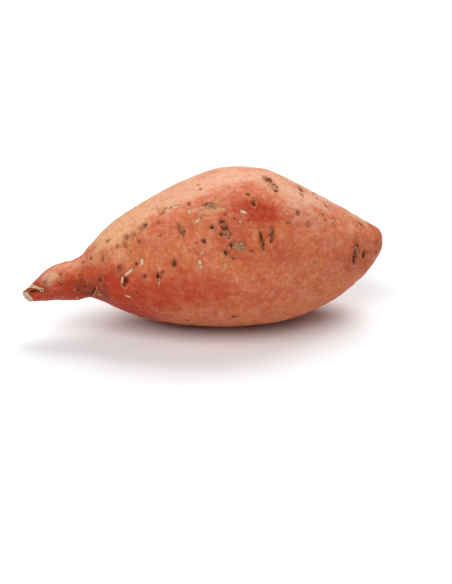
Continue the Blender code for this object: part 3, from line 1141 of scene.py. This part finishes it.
# %% [markdown]
# ## The colour of the marks
# From outside in, a mark has a wide brown-red halo, a pale lower lip, which is a painted
# highlight, and its own bed. Cork is dark in its cracks, brown in between and tan on its
# ridges. A scab is brown and tan, and scurf a broken film of yellow. A fine noise tears the
# edges, so no bed ends in a clean line.

# %% Paint cork, scabs and scurf
CORK_DARK = (0.155, 0.036, 0.015)
CORK_BROWN = (0.27, 0.095, 0.042)
CORK_TAN = (0.43, 0.210, 0.100)
YELLOW_SCURF = (0.76, 0.44, 0.20)
SCAB_TAN = (0.47, 0.255, 0.145)
HALO_RED = (0.32, 0.058, 0.024)


def between(value, low, full, still_full, high):
    """1 from full to still_full, with a smooth slope down to 0 on both sides."""
    return look.times(look.slope(value, high, still_full), look.slope(value, low, full))


ragged = look.noise(0.00060, 3.0, 0.7)
torn = look.noise(0.0014, 3.0, 0.6)
reach_in, ridges, above = look.parts(look.attribute("mark"))
dark, cork, pale = look.parts(look.attribute("mark_mix"))
grey = look.attribute("mark_grey", number=True)
edge = look.shaken(look.shaken(reach_in, ragged, 0.8), torn, 0.7)
inside = look.slope(edge, 1.14, 0.78)
halo = look.times(look.slope(edge, 2.2, 0.9), look.math("MAXIMUM", dark, cork), 0.60)
colour = look.mix(halo, colour, HALO_RED)
# painted highlight: a pale lower lip, as if lit from above
lower_lip_highlight = look.times(between(edge, 1.05, 1.25, 1.45, 1.8), look.slope(above, 0.0, -0.8))
colour = look.mix(look.times(lower_lip_highlight, dark, 0.35), colour, FLECK_PALE)

crumb = look.shaken(ridges, ragged, 0.7)
cork_colour = look.mix(look.slope(crumb, 0.22, 0.48), CORK_DARK, CORK_BROWN)
cork_colour = look.mix(look.slope(crumb, 0.52, 0.92), cork_colour, CORK_TAN)
cork_here = look.times(inside, look.slope(cork, 0.3, 0.75), look.slope(torn, 0.32, 0.44))
colour = look.mix(cork_here, colour, cork_colour)
scab_colour = look.mix(look.slope(torn, 0.36, 0.56), CORK_BROWN, SCAB_TAN)
scab_here = look.times(inside, grey, look.slope(torn, 0.26, 0.42, 0.55, 1.0))
colour = look.mix(scab_here, colour, scab_colour)
scurf = look.slope(look.noise(0.0010, 3.0, 0.7), 0.36, 0.54)
scurf_kind = look.times(look.slope(dark, 0.3, 0.1), look.slope(cork, 0.05, 0.18))
scurf_here = look.times(look.slope(edge, 1.40, 0.40), scurf, scurf_kind)
colour = look.mix(look.times(scurf_here, 0.62), colour, YELLOW_SCURF)
print(f"{len(look.tree.nodes)} nodes so far")

# %% [markdown]
# ## The colour of chips and pits
# A chip shows cream flesh, with a painted shadow at its upper end. A pit is dark in its middle,
# with a dark outline that comes and goes, and some pits have a tan crescent, which is a painted
# highlight on the pit's far wall.

# %% Paint chips and pits
PIT_BROWN = (0.078, 0.012, 0.005)
PALE_FLESH = (0.72, 0.53, 0.36)

flesh_colour = look.mix(look.slope(ragged, 0.30, 0.62), YELLOW_SCURF, PALE_FLESH)
chip_here = look.times(inside, look.slope(pale, 0.4, 0.8))
colour = look.mix(chip_here, colour, flesh_colour)
# painted shadow: the upper end of a chip darkened as if under its step
chip_upper_shadow = look.slope(look.shaken(above, ragged, 0.9), 0.30, 0.80)
colour = look.mix(look.times(chip_here, chip_upper_shadow, 0.8), colour, CORK_DARK)

not_corky = look.slope(cork, 0.45, 0.30)
pit_core = look.times(look.slope(edge, 1.00, 0.35), not_corky, look.slope(pale, 0.3, 0.1))
comes_and_goes = look.slope(look.noise(0.0023, 2.0), 0.46, 0.56)
outline = look.times(between(edge, 0.66, 0.90, 1.00, 1.22), comes_and_goes)
dark_here = look.times(look.math("MAXIMUM", pit_core, look.times(outline, 0.55)), dark)
colour = look.mix(dark_here, colour, PIT_BROWN)
# painted highlight: a tan crescent inside a pit, as if lit on its far wall
crescent_highlight_here = look.slope(look.noise(0.0031, 1.0), 0.50, 0.60)
crescent_highlight = look.times(between(edge, 0.50, 0.70, 0.84, 0.98), crescent_highlight_here)
crescent_highlight = look.times(crescent_highlight, look.slope(cork, 0.05, 0.15), not_corky)
colour = look.mix(look.times(crescent_highlight, look.slope(dark, 0.2, 0.5), 0.8), colour, CORK_TAN)
print(f"{len(look.tree.nodes)} nodes so far")

# %% [markdown]
# ## The colour of the cracks
# A crack is dark at its bottom and has one pale, corky lip. Under and above the torn strip
# the dark is painted shadow.

# %% Paint the cracks
DRY_LIP = (0.66, 0.40, 0.21)
side, crack_dark_share, crack_pale_share = look.parts(look.attribute("crack"))
side = look.shaken(side, ragged, 0.8)
lip_here = between(side, 0.6, 1.1, 1.9, 2.6)
colour = look.mix(look.times(lip_here, crack_pale_share, 0.9), colour, DRY_LIP)
bottom = look.slope(look.math("ABSOLUTE", side, 0.0), 1.10, 0.50)
colour = look.mix(look.times(bottom, crack_dark_share), colour, PIT_BROWN)
look.feed(look.shader.inputs["Base Color"], colour)
print(f"the colour of the skin takes {len(look.tree.nodes)} nodes")

# %% [markdown]
# ## The dull, grainy surface
# Dry skin hardly shines, so it reflects little. Its roughness changes from cloud to cloud and
# is higher in the marks. Bump adds the grain that is too fine for the mesh.

# %% Finish the skin
rough = look.shaken(look.slope(grain, 0.3, 0.7, 0.44, 0.58), cloud, 0.2)
rough = look.math("ADD", rough, look.times(inside, 0.15))
look.feed(look.shader.inputs["Roughness"], rough)
look.shader.inputs["Specular IOR Level"].default_value = 0.09
look.shader.inputs["Sheen Weight"].default_value = 0.01
look.shader.inputs["Sheen Roughness"].default_value = 0.45
look.shader.inputs["Sheen Tint"].default_value = (1.0, 0.84, 0.80, 1.0)
coarse_relief = look.math("ADD", mottle, look.times(small_cloud, 0.8), look.times(tiny_pits, -0.35))
relief = look.bump(coarse_relief, 0.00060, 0.7)
fine_relief = look.math("ADD", look.times(grain, 0.6), look.times(streak, 0.3))
relief = look.bump(fine_relief, 0.00028, 0.7, relief)
scar_relief = look.times(inside, look.math("ADD", ragged, torn))
relief = look.bump(scar_relief, 0.00045, 0.8, relief)
look.feed(look.shader.inputs["Normal"], relief)
skin_mesh.materials.append(look.material)
print(f"{look.material.name}: {len(look.tree.nodes)} nodes in all")

# %% [markdown]
# ## The cut stalk
# Cut across, the stalk is woody: cream, with greyer fibres seen end on and brown stains. The
# fibres are the middles of small Voronoi cells.

# %% Paint the cut stalk
CUT_CREAM = (0.74, 0.56, 0.41)
CUT_GREY = (0.50, 0.35, 0.25)
CUT_BROWN = (0.34, 0.20, 0.11)
FIBRE_CELL = 0.00055

wood = Recipe("cut stalk")
fibre_ends = wood.node("ShaderNodeTexVoronoi", {"Vector": wood.where, "Scale": 1.0 / FIBRE_CELL})
fibre = wood.slope(fibre_ends.outputs["Distance"], 0.20, 0.55)
stain = wood.slope(wood.noise(0.0013, 3.0, 0.6), 0.50, 0.68)
wood_colour = wood.mix(fibre, CUT_GREY, CUT_CREAM)
wood_colour = wood.mix(wood.times(stain, 0.7), wood_colour, CUT_BROWN)
wood.feed(wood.shader.inputs["Base Color"], wood_colour)
wood.shader.inputs["Roughness"].default_value = 0.85
wood.feed(wood.shader.inputs["Normal"], wood.bump(fibre, 0.0002, 0.8))
skin_mesh.materials.append(wood.material)
print(f"{wood.material.name}: {len(wood.tree.nodes)} nodes")

# %% [markdown]
# ## Bodies drawn through rings
# The torn strip, the broken side root, the fibres of the cut and the rootlets are all thin
# bodies. Each is a row of circles, made with Create Circle and placed along a line, joined
# with Bridge Loops and closed at the ends. All but the fibres are rounded by a Subdivision
# Surface.

# %% A helper for long thin bodies
def drawn_body(bm, stations, sides):
    """Joins rings into a closed body. A station is a place, a way, two half widths and a normal."""
    rings = []
    for place, way, half_wide, half_thick, normal in stations:
        forward = way.normalized()
        wide_way = normal.cross(forward).normalized()
        thick_way = forward.cross(wide_way)
        turned = Matrix((wide_way, thick_way, forward)).transposed().to_4x4()
        size = Matrix.Diagonal((half_wide, half_thick, 1.0, 1.0))
        placed = Matrix.Translation(place) @ turned @ size
        made = bmesh.ops.create_circle(bm, segments=sides, radius=1.0, matrix=placed)
        rings.append({edge for vert in made["verts"] for edge in vert.link_edges})
    body = []
    for ring, following in zip(rings, rings[1:]):
        body += bmesh.ops.bridge_loops(bm, edges=list(ring | following))["faces"]
    for ring in (rings[0], rings[-1]):
        body += bmesh.ops.edgeloop_fill(bm, edges=list(ring))["faces"]
    bmesh.ops.recalc_face_normals(bm, faces=body)
    return body


def piece_from(bm, name, rounding):
    """Makes an object of a bmesh, rounded by a Subdivision Surface."""
    mesh = bpy.data.meshes.new(name)
    bm.to_mesh(mesh)
    bm.free()
    mesh.shade_smooth()
    piece = plain_object(name, mesh)
    if rounding:
        rounder = piece.modifiers.new("round", "SUBSURF")
        rounder.levels = rounder.render_levels = rounding
    return piece


def on_skin(share, turn, lift):
    """A point that stands lift off the finished skin, and the skin's normal there."""
    point, normal = spot_at(share, turn)
    near, *_ = grown_skin.find_nearest(point)
    return near + normal * lift, normal


moved_by = [(on_skin(share, 90.0, 0.0)[0] - spot_at(share, 90.0)[0]).length for share in (0.1, 0.5)]
print("the finished skin stands off the smooth one by", [f"{part / MM:.2f} mm" for part in moved_by])

# %% [markdown]
# ## The torn strip
# When the vine was pulled off, it tore a strip of bark from the neck. The strip has dried
# pale and curls out of the skin over a gap that is darkened with painted shadow, and ends at
# the knob of a broken side root.
# The strip is a flat drawn body and the knob a round one, with an open, dark pith.

# %% Model the torn strip
STRIP = (
    # share, degrees, lift, half width and half thickness in millimetres
    (0.0190, 8, -0.10, 0.40, 0.22),
    (0.0225, 14, 0.20, 0.80, 0.38),
    (0.0280, 24, 0.35, 0.95, 0.42),
    (0.0340, 35, 0.32, 0.82, 0.38),
    (0.0400, 47, 0.24, 0.62, 0.36),
    (0.0450, 57, 0.18, 0.56, 0.42),
    (0.0495, 66, 0.10, 0.60, 0.52),
    (0.0525, 70, -0.20, 0.40, 0.40),
)
KNOB_PLACE = (0.0535, 73)
KNOB = (
    # height over the skin and half width in millimetres, from its foot over the lip to the pith
    (-0.60, 1.15),
    (0.10, 1.06),
    (0.60, 1.08),
    (0.88, 0.84),
    (0.76, 0.54),
    (0.25, 0.42),
)
KNOB_THIN = 0.85
PITH_HEIGHT = 0.40 * MM
PITH_REACH = 0.75 * MM
BARK_BUMPS = 0.09 * MM
BARK_GRAIN = 0.70 * MM
spots = [on_skin(share, turn, lift * MM) for share, turn, lift, _, _ in STRIP]
line = [point for point, _ in spots]
ways = [after - before for before, after in zip([line[0]] + line[:-1], line[1:] + [line[-1]])]
stations = [
    (point, way, half_wide * MM, half_thick * MM, normal)
    for (point, normal), way, (_, _, _, half_wide, half_thick) in zip(spots, ways, STRIP)
]
knob_foot, knob_way = on_skin(*KNOB_PLACE, 0.0)
knob_stations = [
    (knob_foot + knob_way * rise * MM, knob_way, half * MM, half * KNOB_THIN * MM, LENGTHWAYS)
    for rise, half in KNOB
]
bm = bmesh.new()
drawn_body(bm, stations, 10)
drawn_body(bm, knob_stations, 12)
bmesh.ops.subdivide_edges(bm, edges=bm.edges[:], cuts=2, use_grid_fill=True)
relax(bm, bm.verts, 1)
pith_middle = knob_foot + knob_way * PITH_HEIGHT
pith = [1.0 - min(1.0, (vert.co - pith_middle).length / PITH_REACH) for vert in bm.verts]
for vert in bm.verts:
    vert.co += vert.normal * BARK_BUMPS * noise.noise(vert.co / BARK_GRAIN)
torn_strip = piece_from(bm, "torn_strip", 1)
store(torn_strip.data, "pith", "FLOAT", np.array(pith))
print(f"torn strip: {(line[-1] - line[0]).length / MM:.1f} mm long")

# %% [markdown]
# ## Fibres of the cut
# A knife tears a few fibres out of a woody stalk. They are tiny rods that stand out of the
# cut face, each leaning its own way. Each has only a few faces, because there are dozens.

# %% Model the cut fibres
FIBRES = 46
FIBRE_SIDES = 5
FIBRE_SPREAD = 0.86
FIBRE_SUNK = 0.20 * MM
pull = random.Random(3)
side_a = cut_way.cross(Vector((0.0, 0.0, 1.0))).normalized()
side_b = cut_way.cross(side_a)
bm = bmesh.new()
for _ in range(FIBRES):
    ring = across_cut * FIBRE_SPREAD * math.sqrt(pull.random())
    angle = pull.uniform(0.0, math.tau)
    foot = cut_middle + cut_way * (TIP_PULL - CUT_SHAVING - FIBRE_SUNK)
    foot = foot + side_a * ring * math.cos(angle) + side_b * ring * math.sin(angle)
    lean = Vector([pull.gauss(0.0, 0.35) for _ in range(3)])
    way = (cut_way + lean).normalized()
    long = pull.uniform(0.35, 0.95) * MM
    thick = pull.uniform(0.06, 0.13) * MM
    rod = [(foot + way * long * part, way, thick, thick, side_a) for part in (0.0, 0.6, 1.0)]
    drawn_body(bm, rod, FIBRE_SIDES)
stalk_fibres = piece_from(bm, "stalk_fibres", 0)
print(f"{FIBRES} fibres stand out of the cut")

# %% [markdown]
# ## Dry rootlets
# A few side roots dry to hairs and stubs and stay on through washing. Each starts in the skin
# and bends away in its own curve, thinner towards its tip. The stub below the neck is the one
# that shows best; most others are on the back and the tail.

# %% Model the rootlets
ROOTLETS = (
    # share, degrees, length and thickness in millimetres
    (0.075, 128, 2.6, 0.50),
    (0.115, 118, 1.6, 0.34),
    (0.204, 132, 1.8, 0.36),
    (0.060, 318, 2.4, 0.20),
    (0.130, 300, 4.5, 0.26),
    (0.175, 245, 3.6, 0.30),
    (0.240, 272, 3.2, 0.34),
    (0.955, 190, 3.0, 0.30),
    (0.985, 230, 3.6, 0.34),
    (0.970, 275, 4.2, 0.26),
    (0.930, 300, 2.8, 0.30),
    (0.845, 241, 2.6, 0.32),
    (0.520, 272, 2.4, 0.34),
    (0.660, 301, 2.8, 0.28),
)
ROOTLET_RINGS = 6
ROOTLET_SIDES = 6
ROOTLET_SUNK = 0.40 * MM
bend = random.Random(23)
bm = bmesh.new()
for share, turn, long, thick in ROOTLETS:
    foot, normal = on_skin(share, turn, -ROOTLET_SUNK)
    astray = Vector([bend.uniform(-1.0, 1.0) for _ in range(3)])
    along_skin = (astray - normal * astray.dot(normal)).normalized()
    stations = []
    for number in range(ROOTLET_RINGS):
        part = number / (ROOTLET_RINGS - 1)
        out = normal * math.sin(part * 1.3) * 0.62 + along_skin * part ** 1.5 * 0.8
        way = normal * math.cos(part * 1.3) * 0.8 + along_skin * (0.15 + 1.2 * part ** 0.5)
        half = 0.5 * thick * MM * (1.0 - 0.6 * part)
        place = foot + out * long * MM
        place.z = max(place.z, half)
        stations.append((place, way, half, half, normal.cross(along_skin)))
    drawn_body(bm, stations, ROOTLET_SIDES)
rootlets = piece_from(bm, "rootlets", 1)
print(f"{len(ROOTLETS)} rootlets")

# %% [markdown]
# ## Dry bark and root
# The small pieces are all the same dry stuff, from cream to brown, so one recipe with two
# colours and a grain serves them all. The attribute "pith" darkens the middle of the knob. The
# other pieces have none, and a material reads an attribute that is missing as 0.

# %% Paint the small pieces
STRIP_CREAM = (0.66, 0.42, 0.27)
STRIP_TAN = (0.46, 0.22, 0.11)
ROOT_TAN = (0.36, 0.19, 0.09)
ROOT_BROWN = (0.10, 0.045, 0.024)


def dry_bark(name, light, dark, size):
    """A dull fibrous finish between two colours."""
    bark = Recipe(name)
    grain = bark.noise(size, 4.0, 0.65)
    bark_colour = bark.mix(bark.slope(grain, 0.38, 0.58), dark, light)
    pith_here = bark.slope(bark.attribute("pith", number=True), 0.05, 0.45)
    bark_colour = bark.mix(pith_here, bark_colour, PIT_BROWN)
    bark.feed(bark.shader.inputs["Base Color"], bark_colour)
    bark.shader.inputs["Roughness"].default_value = 0.8
    bark.feed(bark.shader.inputs["Normal"], bark.bump(grain, 0.00015, 0.7))
    return bark.material


torn_strip.data.materials.append(dry_bark("torn bark", STRIP_CREAM, STRIP_TAN, 0.0009))
stalk_fibres.data.materials.append(dry_bark("cut fibres", CUT_CREAM, CUT_GREY, 0.0005))
rootlets.data.materials.append(dry_bark("dry root", ROOT_TAN, ROOT_BROWN, 0.0008))
for piece in (torn_strip, stalk_fibres, rootlets):
    print(f"{piece.name} is made of {piece.data.materials[0].name}")

# %% [markdown]
# ## Join the pieces to the frame
# Each piece rides on the one body, and the plain solid, which the skin replaces, is hidden.

# %% Hand the pieces to the frame
for piece in (skin, torn_strip, stalk_fibres, rootlets):
    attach(piece, "root")
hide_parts("sweet_potato")
